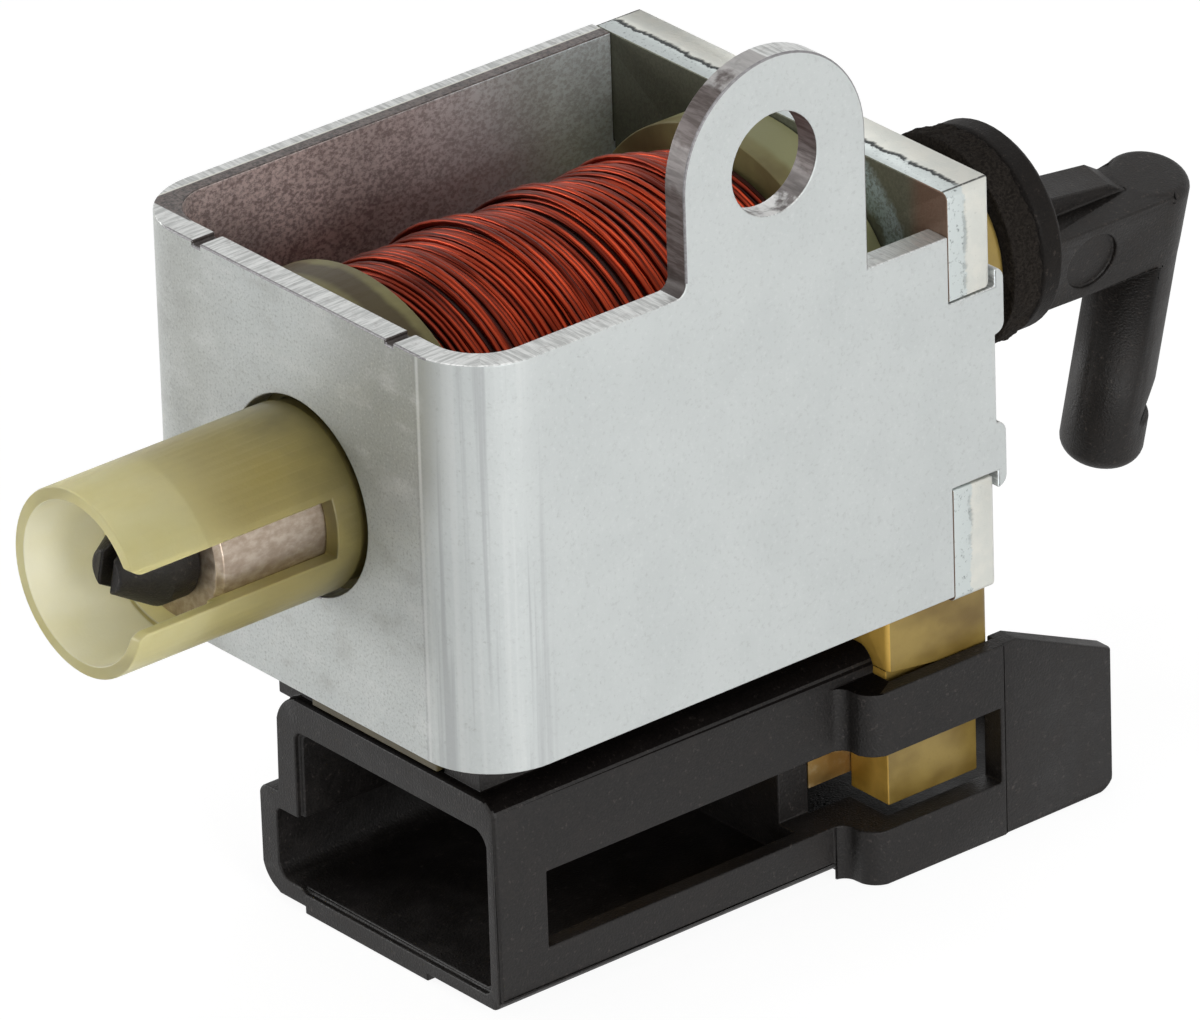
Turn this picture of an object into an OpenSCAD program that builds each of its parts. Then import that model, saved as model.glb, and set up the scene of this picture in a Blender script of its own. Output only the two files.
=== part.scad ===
// Ignition lock solenoid: a spring-returned push solenoid in a bent steel frame.
// Millimetres, +Z up. The origin is on the plunger's axis, at the frame's front face.
// +X runs along the axis, from the nose tube to the lock arm. The mounting ear is on the -Y side.

/* [Steel frame] */
// Outside width of the frame across its two side walls
frame_w = 27.8; // [26:0.1:32]
// Height of the frame's walls
frame_h = 22.7; // [22.4:0.1:26]
// Thickness of the frame's steel strip
steel_t = 1.5; // [1.2:0.1:1.8]
// Outside radius of the frame's two bends
bend_r = 4.3; // [3:0.1:5]
// Clear length inside the frame, front wall to end plate
cavity_l = 29.5; // [28:0.5:34]
// Distance from the front face to the middle of the mounting ear
ear_x = 19.85; // [16:0.05:21]
// Height of the ear's hole above the wall's top edge
ear_rise = 5.35; // [4:0.05:8]
// Radius of the mounting ear
ear_r = 5.9; // [5:0.1:7]
// Diameter of the mounting hole, a clearance hole for an M5 screw
hole_d = 5.5; // [4.3:0.1:6.5]
// Gap all round between the nose tube and the front wall's hole
nose_gap = 0.3; // [0.1:0.05:0.8]
// Radius of the fillets where the ear meets the wall
ear_fillet = 0.7; // [0.3:0.1:1.2]
// Drop of the near wall's top edge behind the ear
shoulder_drop = 2.4; // [1:0.1:4]
// Height of the tongue on each wall's rear end
tongue_h = 10.4; // [8:0.1:12]
// Height of each staked bump on the tongue
stake_h = 2.4; // [2:0.1:3.5]
// How far the staked bumps stand out behind the end plate
stake_out = 0.65; // [0.5:0.05:1.2]
// Distance between the two witness nicks in the front wall's top edge
nick_gap = 15.3; // [10:0.1:17]
// Width of a witness nick
nick_w = 0.6; // [0.3:0.1:1]
// Depth of a witness nick
nick_depth = 0.25; // [0.1:0.05:0.5]

/* [End plate and pole piece] */
// Thickness of the end plate
plate_t = 3; // [2:0.1:4]
// How far the end plate reaches below the walls
plate_low = 0.35; // [0.1:0.05:0.6]
// Rounding of the end plate's outline at its corners
plate_corner = 0.5; // [0.2:0.1:1]
// Rounding of the end plate's rear edges at its sides and below
plate_edge = 0.7; // [0.3:0.1:1]
// Rounding of the end plate's top rear edge
plate_top_edge = 0.2; // [0.1:0.1:0.6]
// Gap between the end plate's ears and the tongues
ear_gap = 0.1; // [0.05:0.05:0.2]
// Diameter of the pole piece's shank in the end plate
shank_d = 6.8; // [6:0.1:7.2]
// Length of the shank behind the end plate
shank_out = 4.2; // [3:0.1:5]
// Diameter of the rear guide bush
guide_d = 10.8; // [10:0.1:13]
// Length of the rear guide bush
guide_l = 8.2; // [7:0.1:11]

/* [Bobbin] */
// Outside diameter of the nose tube
nose_d = 10.1; // [9.8:0.1:11.5]
// Length of the nose tube in front of the frame
nose_l = 14.1; // [12.5:0.1:18]
// Inside diameter of the nose tube's mouth
mouth_d = 8.7; // [8.4:0.1:9.2]
// Depth of the wider mouth
mouth_depth = 5; // [3:0.1:5.4]
// Width of the slot in the nose tube
slot_w = 3.15; // [2:0.05:4]
// Turn of the slot about the axis, from level towards the top
slot_turn = 5.3; // [0:0.1:20]
// Distance from the slot's closed end to the frame
slot_end = 1.6; // [0.5:0.1:4]
// Rounding of the slot's two lips at the mouth
lip_r = 0.8; // [0.3:0.1:1.2]
// Diameter of the two flanges
flange_d = 22; // [20:0.1:22.2]
// Thickness of the front flange
front_flange_t = 2.95; // [1.5:0.05:4]
// Thickness of the rear flange
rear_flange_t = 3.3; // [2.4:0.05:4]
// Diameter of the spool that carries the winding
core_d = 11; // [10.6:0.1:12]
// Width of the front foot
foot_w = 10; // [6:0.1:12]
// Thickness of the front foot
foot_t = 2; // [1.5:0.1:4]
// Length of the terminal leg along the axis
leg_l = 6.7; // [6.2:0.1:7.5]
// Width of the terminal leg
leg_w = 21.4; // [20:0.1:22]
// Inward step from the leg's side to its fingers
finger_step = 0.4; // [0.2:0.1:0.8]
// Width of each finger of the terminal leg
finger_w = 3; // [2:0.1:4]
// How far the fingers reach below the connector's top
finger_drop = 8.9; // [7:0.1:9.6]

/* [Coil] */
// Diameter of the winding at its middle
winding_d = 20.9; // [16:0.1:21.4]
// How much the winding falls away to each end
winding_crown = 0.5; // [0.2:0.1:1]
// Length over which the winding falls away at each end
winding_ease = 4; // [2:0.5:6]
// Number of bundles of turns that show side by side on the winding's outside
bundle_n = 4; // [3:1:6]
// Height of a bundle over the hollows beside it
bundle_h = 0.4; // [0.2:0.05:0.5]
// Diameter of the coil's two leads
lead_d = 0.4; // [0.25:0.05:0.6]

/* [Plunger and spring] */
// Diameter of the plunger
plunger_d = 8; // [7.6:0.05:8.2]
// Length of the plunger
plunger_l = 21.5; // [18:0.1:23]
// How far the plunger stands out of the frame's front face at rest
plunger_out = 8.3; // [7:0.1:9]
// Chamfer on the plunger's ends
plunger_chamfer = 0.3; // [0.2:0.1:1]
// Stroke of the plunger
stroke = 5.5; // [3:0.1:6]
// Diameter of the return spring's wire
spring_wire = 0.4; // [0.3:0.05:0.45]
// Number of turns of the return spring
spring_turns = 9; // [6:1:14]
// Depth of the spring's seat in the plunger and in the pole piece
spring_seat = 5.5; // [4:0.1:7]

/* [Lock arm] */
// Diameter of the arm's rod
rod_d = 3.8; // [3.4:0.1:4]
// Diameter of the rod's neck inside the plunger
neck_d = 3; // [2.4:0.1:3.2]
// Diameter of the snap barb
barb_d = 5.1; // [4:0.1:5.4]
// Length of the snap barb
barb_l = 4; // [3:0.1:4.8]
// Width of the split in the barb
split_w = 0.8; // [0.6:0.1:1.2]
// Diameter of the collar
collar_d = 11.4; // [10.5:0.1:13]
// Thickness of the collar
collar_t = 1.8; // [1.2:0.1:3]
// Turn of the arm about the axis, away from hanging straight down
arm_turn = 13.3; // [0:0.1:30]
// Width of the arm's bar
bar_w = 4.05; // [3:0.05:4.4]
// Height of the arm's bar
bar_h = 4.4; // [3:0.05:4.6]
// Distance from the axis down to the middle of the bar
bar_drop = 3.15; // [2.8:0.05:3.6]
// Distance from the collar to the middle of the arm's leg
arm_reach = 10.7; // [8:0.1:14]
// Rise of the gusset on the bar at the collar
gusset_rise = 1.75; // [1.2:0.05:2]
// Rise of the gusset at its end near the head
gusset_end = 0.65; // [0.3:0.05:1]
// Length of the flat near the leg's end
leg_flat = 3; // [2:0.1:4]
// Diameter of the arm's leg
arm_leg_d = 4.5; // [4.2:0.1:5]
// Distance from the axis down to the end of the leg
arm_leg_end = 19; // [14:0.1:24]
// Rounding of the leg's end
arm_leg_round = 0.95; // [0.3:0.05:1]
// How much the head's lower end stands out round the leg
head_step = 0.02; // [0.02:0.01:0.1]
// How much the head widens to its top, the draft of its mould
head_draft = 0.04; // [0.02:0.01:0.1]
// Diameter of the round recess in the bar's side
recess_d = 3.3; // [2:0.1:3.6]
// Depth of the round recess
recess_depth = 0.25; // [0.1:0.05:0.5]
// Outside diameter of the foam bumper
foam_d = 11.8; // [10:0.1:13]
// Thickness of the foam bumper
foam_t = 1.9; // [1:0.1:3]

/* [Connector] */
// Distance from the frame's front face back to the connector's mouth
conn_x = 4; // [3:0.1:6]
// Gap between the frame's bottom edge and the connector's top
conn_gap = 3.85; // [3.4:0.05:5]
// Width of the connector's shroud
conn_w = 19.2; // [18:0.1:21]
// Height of the connector's shroud
conn_h = 12; // [11.2:0.1:14]
// Thickness of the shroud's side and bottom walls
conn_wall = 1; // [0.8:0.05:1.4]
// Thickness of the shroud's top wall
conn_roof = 2.2; // [1.2:0.1:2.8]
// Inward step of the far wall's upper half, which keys the plug
key_step = 1.6; // [1:0.1:2.5]
// Height of the keyed upper half
key_h = 6; // [4:0.1:8]
// Thickness of the inner wall behind the plug's space
inner_wall = 2; // [1.6:0.1:3]
// Gap between the inner wall and the terminal leg
inner_gap = 2.8; // [2:0.1:3]
// Outward step of the rails round the terminal leg
bulge = 2.2; // [1.8:0.1:3]
// Length of the bulge ahead of the terminal leg
bulge_l = 2.3; // [1.5:0.1:2.6]
// Drop of the bulge's top below the shroud's top
bulge_drop = 1.4; // [0.3:0.1:1.6]
// Length of the two cheeks behind the terminal leg
block_l = 7.5; // [5:0.1:10]
// Fall of the cheeks' sloping tops
block_fall = 2.9; // [1:0.1:5]
// Height of the long window in the near wall
window_h = 4.3; // [3:0.1:5]
// Distance from the connector's top down to the window
window_drop = 5; // [4.5:0.1:6]
// Distance from the connector's mouth to the window
window_x = 3.3; // [2:0.1:6]
// Height of the raised pad under the shroud
pad_h = 0.4; // [0.2:0.1:0.8]
// Width of the raised pad
pad_w = 9.9; // [6:0.1:14]
// Sideways place of the pad's middle
pad_y = 1.2; // [-2:0.1:2]
// Width of the rails that stand beside the bobbin's foot
rail_w = 2.9; // [1.5:0.1:3.2]
// Thickness of the terminal strip
blade_t = 0.8; // [0.6:0.05:1]
// Height of the terminal strip
blade_h = 2.8; // [2:0.1:3]
// Length of each terminal blade in front of the inner wall
blade_l = 12; // [8:0.1:14]
// Depth of a terminal's tab in the leg
tab_depth = 3.8; // [2:0.1:4.5]
// Distance between the middles of the two blades
blade_pitch = 6.6; // [5:0.1:8]

/* [Hidden] */
$fn = 64;

// Clearances: fixed seats, running fits, and room round a piece that only passes through
seat = 0.03;
running = 0.06;
pass = 0.25;
eps = 0.01;

// Places along the axis
plate_x = steel_t + cavity_l;
plate_end = plate_x + plate_t;
guide_x = plate_end + seat;
guide_end = guide_x + guide_l;
foam_x = guide_end + seat;
collar_x = foam_x + foam_t + seat;
collar_end = collar_x + collar_t;
arm_leg_x = collar_end + arm_reach;
plunger_x = -plunger_out;
plunger_end = plunger_x + plunger_l;
pole_x = plunger_end + stroke + 2 * seat;
barb_x = plunger_x - seat;

// Radii that fits share
bore_r = plunger_d / 2 + running;
rod_r = rod_d / 2;
neck_r = neck_d / 2;
head_r = arm_leg_d / 2 + head_step;
spring_r = rod_r + pass + spring_wire / 2;
spring_seat_r = spring_r + spring_wire / 2 + 0.2;

// Frame and plate
wall_y = frame_w / 2 - steel_t;
top_z = frame_h / 2;
tongue_x = plate_end + seat;
stake_r = stake_out;

// Bobbin
front_flange_x = steel_t + seat;
root_x = -2 * seat;
root_r = nose_d / 2 - 0.2;
spool_x = front_flange_x + front_flange_t;
rear_flange_end = plate_x - seat;
spool_end = rear_flange_end - rear_flange_t;
foot_x = conn_x + 0.1;

// Connector and terminal leg
conn_top = -top_z - conn_gap;
conn_bottom = conn_top - conn_h;
half_w = conn_w / 2;
key_z = conn_top - key_h;
leg_x = plate_x - 1.8;
leg_end = leg_x + leg_l;
leg_top = -top_z - plate_low - 0.1;
finger_out = leg_w / 2 - finger_step;
finger_y = finger_out - finger_w;
finger_z = conn_top - finger_drop;
wall_end = leg_x - inner_gap;
wall_start = wall_end - inner_wall;
pocket_end = leg_end + 0.1;
block_end = pocket_end + block_l;
bulge_x = leg_x - bulge_l;
bulge_y = half_w + bulge;
bulge_top = conn_top - bulge_drop;
base_z = conn_bottom - pad_h;
rear_wall = 1.3;
rear_h = 1.7;
window_top = conn_top - window_drop;
rail_y = foot_w / 2 + 0.2;
rail_top = -top_z - 0.25;

// Terminals and leads
blade_top = window_top - 0.25;
tab_y = finger_y - seat - blade_t / 2;
link_x = wall_end + 0.1;
tab_end = leg_x + tab_depth;
link_y = tab_y + blade_t / 2 + 0.2;
lead_x = spool_end + 0.6;
lead_r = lead_d / 2;

// A solid turned about the axis from a profile of [radius, x] points
module turned(points) {
    rotate([0, 90, 0]) rotate_extrude() polygon(points);
}

// A cylinder along the axis between two places
module bar_x(r, x0, x1) {
    translate([x0, 0, 0]) rotate([0, 90, 0]) cylinder(r = r, h = x1 - x0);
}

// A flat shape drawn in Y and Z, pushed along X between two places
module push_x(x0, x1) {
    translate([x0, 0, 0]) rotate([90, 0, 90]) linear_extrude(x1 - x0) children();
}

// A flat shape drawn in X and Z, pushed along Y between two places
module push_y(y0, y1) {
    translate([0, y1, 0]) rotate([90, 0, 0]) linear_extrude(y1 - y0) children();
}

// A box between two opposite corners
module block(low, high) {
    translate(low) cube(high - low);
}

// A rectangle between two corners, with its own rounding at each corner
module round_rect(low, high, low_low, high_low, high_high, low_high) {
    corners = [[low.x, low.y, low_low], [high.x, low.y, high_low], [high.x, high.y, high_high],
        [low.x, high.y, low_high]];
    difference() {
        translate(low) square(high - low);
        for (c = corners) if (c.z > 0) {
            inward = [c.x == low.x ? 1 : -1, c.y == low.y ? 1 : -1];
            middle = [c.x, c.y] + c.z * inward;
            difference() {
                translate(middle - c.z * inward / 2 - inward * (c.z / 2 + eps) / 2)
                    square(c.z + eps, center = true);
                translate(middle) circle(c.z);
            }
        }
    }
}

// Plan of the frame's strip, drawn in by an inset, open at its rear end
module strip_plan(inset, end) {
    r = bend_r - inset;
    half = frame_w / 2 - inset;
    translate([inset + r, -half]) square([end - inset - r, 2 * half]);
    translate([inset, r - half]) square([r, 2 * (half - r)]);
    for (side = [-1, 1]) translate([inset + r, side * (half - r)]) circle(r);
}

// Outline of the mounting ear above the wall, with a fillet on each side of its foot
module ear_plan() {
    foot_z = top_z - shoulder_drop;
    translate([ear_x, top_z + ear_rise]) circle(ear_r);
    translate([ear_x - ear_r, foot_z]) square([2 * ear_r, top_z + ear_rise - foot_z]);
    difference() {
        translate([ear_x - ear_r - ear_fillet, top_z - eps]) square([2 * ear_fillet, ear_fillet]);
        translate([ear_x - ear_r - ear_fillet, top_z + ear_fillet]) circle(ear_fillet);
    }
}

// The rear end of both walls: what is cut away above and below the tongues
module tongue_cuts() {
    reach = frame_w / 2 + 1;
    for (side = [-1, 1]) {
        low = side > 0 ? tongue_h / 2 : -top_z - 1;
        high = side > 0 ? top_z + 1 : -tongue_h / 2;
        block([plate_x, -reach, low], [tongue_x + 1, reach, high]);
    }
}

// Metal staked over the plate's ears, at the top and bottom of each tongue
module stakes() {
    for (side = [-1, 1]) {
        high = tongue_h / 2 + stake_r / 2;
        mid = side * (high - stake_h / 2);
        push_y(-frame_w / 2, frame_w / 2) difference() {
            union() {
                translate([plate_end, mid - stake_h / 2]) square([stake_out, stake_h]);
                for (end = [-1, 1])
                    translate([plate_end, mid + end * stake_h / 2]) circle(stake_r);
            }
            // clear of the plate's ear beside the tongue
            translate([plate_end + seat - 2 * stake_r, side > 0 ? tongue_h / 2 : -tongue_h / 2 - stake_h])
                square([2 * stake_r, stake_h]);
        }
    }
}

module frame() {
    near = -frame_w / 2;
    color("gainsboro") difference() {
        union() {
            difference() {
                translate([0, 0, -top_z]) linear_extrude(frame_h) difference() {
                    strip_plan(0, tongue_x);
                    strip_plan(steel_t, tongue_x + 1);
                }
                tongue_cuts();
                block([ear_x + ear_r, near - 1, top_z - shoulder_drop], [tongue_x, near + steel_t + 1, top_z + 1]);
            }
            push_y(near, near + steel_t) ear_plan();
            intersection() {
                stakes();
                difference() {
                    block([0, near, -top_z], [tongue_x + stake_out, -near, top_z]);
                    block([0, -wall_y, -top_z], [tongue_x + stake_out + 1, wall_y, top_z]);
                }
            }
        }
        bar_x(nose_d / 2 + nose_gap, -1, steel_t + 1);
        translate([ear_x, near - 1, top_z + ear_rise]) rotate([-90, 0, 0])
            cylinder(d = hole_d, h = steel_t + 2);
        for (side = [-1, 1])
            block([-1, side * nick_gap / 2 - nick_w / 2, top_z - nick_depth],
                [steel_t + 1, side * nick_gap / 2 + nick_w / 2, top_z + 1]);
    }
}

// A stretch of the end plate from the side, its stamped rear edges rolled over
module plate_side(low, high, high_edge) {
    round_rect([plate_x, low], [plate_end, high], 0, plate_edge, high_edge, 0);
}

// The end plate: a full middle and an ear in each corner, above and below the tongues
module end_plate() {
    low = -top_z - plate_low;
    half = frame_w / 2;
    ear_z = tongue_h / 2 + ear_gap;
    c = plate_corner;
    color("silver") difference() {
        intersection() {
            union() {
                push_y(-wall_y + seat, wall_y - seat) plate_side(low, top_z, plate_top_edge);
                push_y(-half, half) plate_side(ear_z, top_z, plate_top_edge);
                push_y(-half, half) plate_side(low, -ear_z, plate_edge);
            }
            push_x(plate_x - 1, plate_end + 1) round_rect([-half, low], [half, top_z], c, c, c, c);
            translate([0, 0, low - 1]) linear_extrude(frame_h + plate_low + 2)
                round_rect([plate_x - 1, -half], [plate_end, half], 0, plate_edge, plate_edge, 0);
        }
        bar_x(shank_d / 2 + seat, plate_x - 1, plate_end + 1);
    }
}

// The nose tube with its relieved root, the flanges and the spool as one turned form,
// which starts and ends its turn in the middle of the slot
module spool() {
    rotate([-90 - slot_turn, 0, 0]) turned([[0, -nose_l], [nose_d / 2, -nose_l], [nose_d / 2, root_x], [root_r, root_x],
        [root_r, front_flange_x], [flange_d / 2, front_flange_x], [flange_d / 2, spool_x], [core_d / 2, spool_x],
        [core_d / 2, spool_end], [flange_d / 2, spool_end], [flange_d / 2, rear_flange_end],
        [0, rear_flange_end]]);
}

// Foot under the front flange, which steps back to stand on the connector's top
module front_foot() {
    under = -winding_d / 2 - pass;
    step = -top_z - 1.15;
    push_y(-foot_w / 2, foot_w / 2) polygon([[front_flange_x, step], [foot_x, step],
        [foot_x, conn_top + seat], [foot_x + foot_t, conn_top + seat], [foot_x + foot_t, under],
        [spool_x - foot_t / 4, under], [spool_x - foot_t / 4, -core_d / 2], [front_flange_x, -core_d / 2]]);
}

// Leg under the rear flange: a neck, a block below the end plate and two fingers with a web
module terminal_leg() {
    half = leg_w / 2;
    block_z = conn_top - 1.1;
    lower_x = leg_x + 0.1;
    lower_end = leg_end - 0.6;
    block([leg_x, -finger_y, leg_top - 1], [rear_flange_end, finger_y, -core_d / 2]);
    block([leg_x, -half, block_z], [leg_end, half, leg_top]);
    for (side = [-1, 1])
        translate([0, side * (finger_y + finger_w / 2), 0])
            block([lower_x, -finger_w / 2, finger_z], [lower_end, finger_w / 2, block_z + eps]);
    block([leg_x + 1.2, -finger_y - eps, blade_top - blade_h - 0.3], [lower_end, finger_y + eps, block_z + eps]);
}

// The slot in the nose tube, open at the mouth with rounded lips
module nose_slot() {
    half = slot_w / 2;
    mouth = -nose_l;
    rotate([-slot_turn, 0, 0]) push_y(-nose_d, 0) {
        translate([mouth - 1, -half]) square([nose_l + 1 - slot_end, slot_w]);
        for (side = [-1, 1]) difference() {
            translate([mouth - lip_r, side * half - lip_r]) square([2 * lip_r, 2 * lip_r]);
            translate([mouth + 0.8 * lip_r, side * (half + lip_r)]) circle(lip_r);
        }
    }
}

module bobbin() {
    tab = [blade_t + 0.1, blade_h + 0.1];
    color("wheat") difference() {
        union() {
            spool();
            front_foot();
            terminal_leg();
        }
        bar_x(bore_r, -nose_l - 1, plate_x + 1);
        bar_x(mouth_d / 2, -nose_l - 1, -nose_l + mouth_depth);
        nose_slot();
        // pockets for the terminals' tabs
        for (side = [-1, 1])
            translate([leg_x - 1, side * tab_y - tab.x / 2, blade_top - blade_h - 0.05])
                cube([tab_end + 0.05 - leg_x + 1, tab.x, tab.y]);
        // ways through the rear flange for the coil's leads
        for (side = [-1, 1])
            block([spool_end - 1, side * tab_y - lead_d, -flange_d],
                [lead_x + lead_d, side * tab_y + lead_d, side > 0 ? -core_d / 4 : -flange_d * 0.33]);
    }
}

// The copper winding: rounded bundles of turns side by side, a little fuller in the middle than at the ends
module coil_winding() {
    r = winding_d / 2;
    first = spool_x + seat;
    last = spool_end - seat;
    inner = core_d / 2 + seat;
    bundle_l = (last - first) / bundle_n;
    hollow = r - bundle_h;
    arc_r = (pow(bundle_l / 2, 2) + pow(bundle_h, 2)) / (2 * bundle_h);
    color("sienna") rotate([0, 90, 0]) rotate_extrude() intersection() {
        polygon([[inner, first], [r - winding_crown, first], [r - winding_crown / 4, first + winding_ease],
            [r + eps, (first + last) / 2], [r - winding_crown / 4, last - winding_ease], [r - winding_crown, last],
            [inner, last]]);
        union() {
            translate([inner, first]) square([hollow - inner, last - first]);
            for (i = [0 : bundle_n - 1]) intersection() {
                translate([r - arc_r, first + (i + 0.5) * bundle_l]) circle(arc_r);
                translate([hollow - bundle_h, first + i * bundle_l]) square([2 * bundle_h, bundle_l]);
            }
        }
    }
}

// A lead leaves the winding's end, turns down and ends on its terminal's tab
module lead(side, from_z) {
    translate([0, side * tab_y, 0]) {
        translate([spool_end, 0, from_z]) rotate([0, 90, 0]) cylinder(r = lead_r, h = lead_x - spool_end, $fn = 16);
        translate([lead_x, 0, from_z]) sphere(lead_r, $fn = 16);
        translate([lead_x, 0, blade_top + seat]) cylinder(r = lead_r, h = from_z - blade_top - seat, $fn = 16);
    }
}

module lead_start() {
    color("peru") lead(1, -core_d / 4 - lead_d);
}

module lead_finish() {
    color("peru") lead(-1, -flange_d * 0.33 - lead_d);
}

// Fixed steel core: its front face stops the plunger and its shank is held in the end plate
module pole_piece() {
    r = bore_r - seat;
    shank = shank_d / 2;
    color("darkgray") difference() {
        turned([[rod_r + pass, pole_x], [r, pole_x], [r, plate_x - seat], [shank, plate_x - seat],
            [shank, plate_end + shank_out], [rod_r + pass, plate_end + shank_out]]);
        bar_x(spring_seat_r, pole_x - 1, pole_x + spring_seat);
    }
}

// Nylon bush pressed on the shank, which guides the rod and takes the bumper
module rear_guide() {
    deep = plate_end + shank_out + seat;
    edge = 0.4;
    color("wheat") turned([[shank_d / 2 + seat, guide_x], [guide_d / 2, guide_x], [guide_d / 2, guide_end - edge],
        [guide_d / 2 - edge, guide_end], [rod_r + running, guide_end], [rod_r + running, deep],
        [shank_d / 2 + seat, deep]]);
}

module plunger() {
    r = plunger_d / 2;
    c = plunger_chamfer;
    color("rosybrown") difference() {
        turned([[neck_r + running, plunger_x], [r - c, plunger_x], [r, plunger_x + c], [r, plunger_end - c],
            [r - c, plunger_end], [neck_r + running, plunger_end]]);
        bar_x(spring_seat_r, plunger_end - spring_seat, plunger_end + 1);
    }
}

// Points of one ring of the spring's wire, and the spring's whole length
spring_x0 = plunger_end - spring_seat + seat;
spring_x1 = pole_x + spring_seat - seat;
ring_sides = 6;
turn_steps = 18;
spring_steps = turn_steps * spring_turns;
function spring_point(step, side) =
    let (
        turn = 360 * step / turn_steps,
        around = 360 * side / ring_sides,
        along = spring_x0 + spring_wire / 2 + (spring_x1 - spring_x0 - spring_wire) * step / spring_steps,
        out = spring_r + spring_wire / 2 * cos(around)
    )
    [along + spring_wire / 2 * sin(around), out * cos(turn), out * sin(turn)];

module return_spring() {
    count = ring_sides * (spring_steps + 1);
    walls = [for (step = [0:spring_steps - 1], side = [0:ring_sides - 1])
        let (a = step * ring_sides + side, b = step * ring_sides + (side + 1) % ring_sides)
        [a, b, b + ring_sides, a + ring_sides]];
    first = [for (side = [0:ring_sides - 1]) ring_sides - 1 - side];
    last = [for (side = [0:ring_sides - 1]) count - ring_sides + side];
    color("slategray") polyhedron(
        [for (step = [0:spring_steps], side = [0:ring_sides - 1]) spring_point(step, side)],
        concat([first, last], walls));
}

// Sponge washer on the rod, between the rear guide and the arm's collar
module foam_bumper() {
    edge = 0.3;
    r = foam_d / 2;
    hole = rod_r + running;
    color("dimgray") turned([[hole, foam_x], [r - edge, foam_x], [r, foam_x + edge], [r, foam_x + foam_t - edge],
        [r - edge, foam_x + foam_t], [hole, foam_x + foam_t]]);
}

// The rod: a split snap barb, a neck through the plunger, a shoulder and the collar
module arm_rod() {
    r = barb_d / 2;
    tip = barb_x - barb_l;
    shoulder = plunger_end - spring_seat + seat;
    edge = 0.35;
    difference() {
        turned([[0, tip], [r * 0.45, tip], [r, barb_x - barb_l * 0.4], [r, barb_x], [neck_r, barb_x],
            [neck_r, shoulder], [rod_r, shoulder], [rod_r, collar_x], [collar_d / 2 - edge, collar_x],
            [collar_d / 2, collar_x + edge], [collar_d / 2, collar_end - edge], [collar_d / 2 - edge, collar_end],
            [0, collar_end]]);
        block([tip - 1, -split_w / 2, -r - 1], [barb_x + barb_l, split_w / 2, r + 1]);
    }
}

// The bar behind the collar, flush with the head on its near side, with a sloping gusset on its far side
module arm_bar() {
    top = bar_h / 2 - bar_drop;
    far = bar_w - head_r;
    block([collar_end - eps, -head_r, top - bar_h], [arm_leg_x, far, top]);
    push_y(-far * 0.2, far) polygon([[collar_end - eps, top - eps], [arm_leg_x - 2, top - eps],
        [arm_leg_x - 3, top + gusset_end], [collar_end - eps, top + gusset_rise]]);
}

// The head where bar and leg meet, rounded on top
module arm_head() {
    r = head_r + head_draft;
    height = bar_h + 0.2;
    edge = 0.6;
    translate([arm_leg_x, 0, -bar_drop - height / 2]) rotate_extrude() {
        polygon([[0, 0], [head_r, 0], [r, height - edge], [0, height - edge]]);
        square([r - edge, height]);
        translate([r - edge, height - edge]) circle(edge);
    }
}

// The leg below the head, with a rounded end and a flat near the end
module arm_leg() {
    length = arm_leg_end - bar_drop - bar_h / 2;
    r = arm_leg_d / 2;
    translate([arm_leg_x, 0, -arm_leg_end]) difference() {
        rotate_extrude() {
            square([r - arm_leg_round, length]);
            translate([0, arm_leg_round]) square([r, length - arm_leg_round]);
            translate([r - arm_leg_round, arm_leg_round]) circle(arm_leg_round);
        }
        translate([0, 0, arm_leg_end * 0.15]) rotate([0, 0, -50]) translate([r - 0.4, -r, 0])
            rotate([0, 9, 0]) cube([1, 2 * r, leg_flat]);
    }
}

module lock_arm() {
    color("darkslategray") rotate([arm_turn, 0, 0]) difference() {
        union() {
            arm_rod();
            arm_bar();
            arm_head();
            arm_leg();
        }
        translate([collar_end + arm_reach / 2, -head_r + recess_depth, -bar_drop]) rotate([90, 0, 0])
            cylinder(d = recess_d, h = 1);
    }
}

// Cross-section of the shroud: square near side, stepped far side
module shroud_outline() {
    round_rect([-half_w, conn_bottom], [half_w, key_z], 0.8, 1.9, 0.8, 0);
    round_rect([-half_w, conn_bottom + 2], [half_w - key_step, conn_top], 0, 0, 2.3, 1.2);
}

// Cross-section of the space for the plug inside the shroud
module plug_outline() {
    floor_z = conn_bottom + conn_wall;
    side = half_w - conn_wall;
    inner_key = key_z - conn_wall;
    round_rect([-side, floor_z], [side - 0.4, inner_key], 0.5, 1, 0.4, 0);
    round_rect([-side, floor_z + 2], [side - key_step - 0.8, conn_top - conn_roof], 0, 0, 0.5, 0.9);
}

// Side view of the rear part: rails round the terminal leg and cheeks with sloping tops
module bulge_side() {
    ramp_x = pocket_end + 0.9;
    difference() {
        round_rect([bulge_x - bulge, base_z], [block_end, bulge_top], 0, 1.3, 0, 0);
        polygon([[ramp_x, bulge_top + eps], [block_end + 1, bulge_top + eps], [block_end + 1, bulge_top - block_fall],
            [block_end, bulge_top - block_fall]]);
    }
}

// Plan of the rear part: each side swings out of the shroud's wall in an S
module bulge_plan() {
    out = bulge * 0.62;
    in = bulge * 0.32;
    round_rect([bulge_x, -bulge_y], [block_end, bulge_y], out, 0.6, 0.6, out);
    for (side = [-1, 1]) difference() {
        translate([bulge_x - in, side * (half_w + in / 2 - eps) - in / 2]) square([in + eps, in]);
        translate([bulge_x - in, side * (half_w + in)]) circle(in);
    }
}

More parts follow.
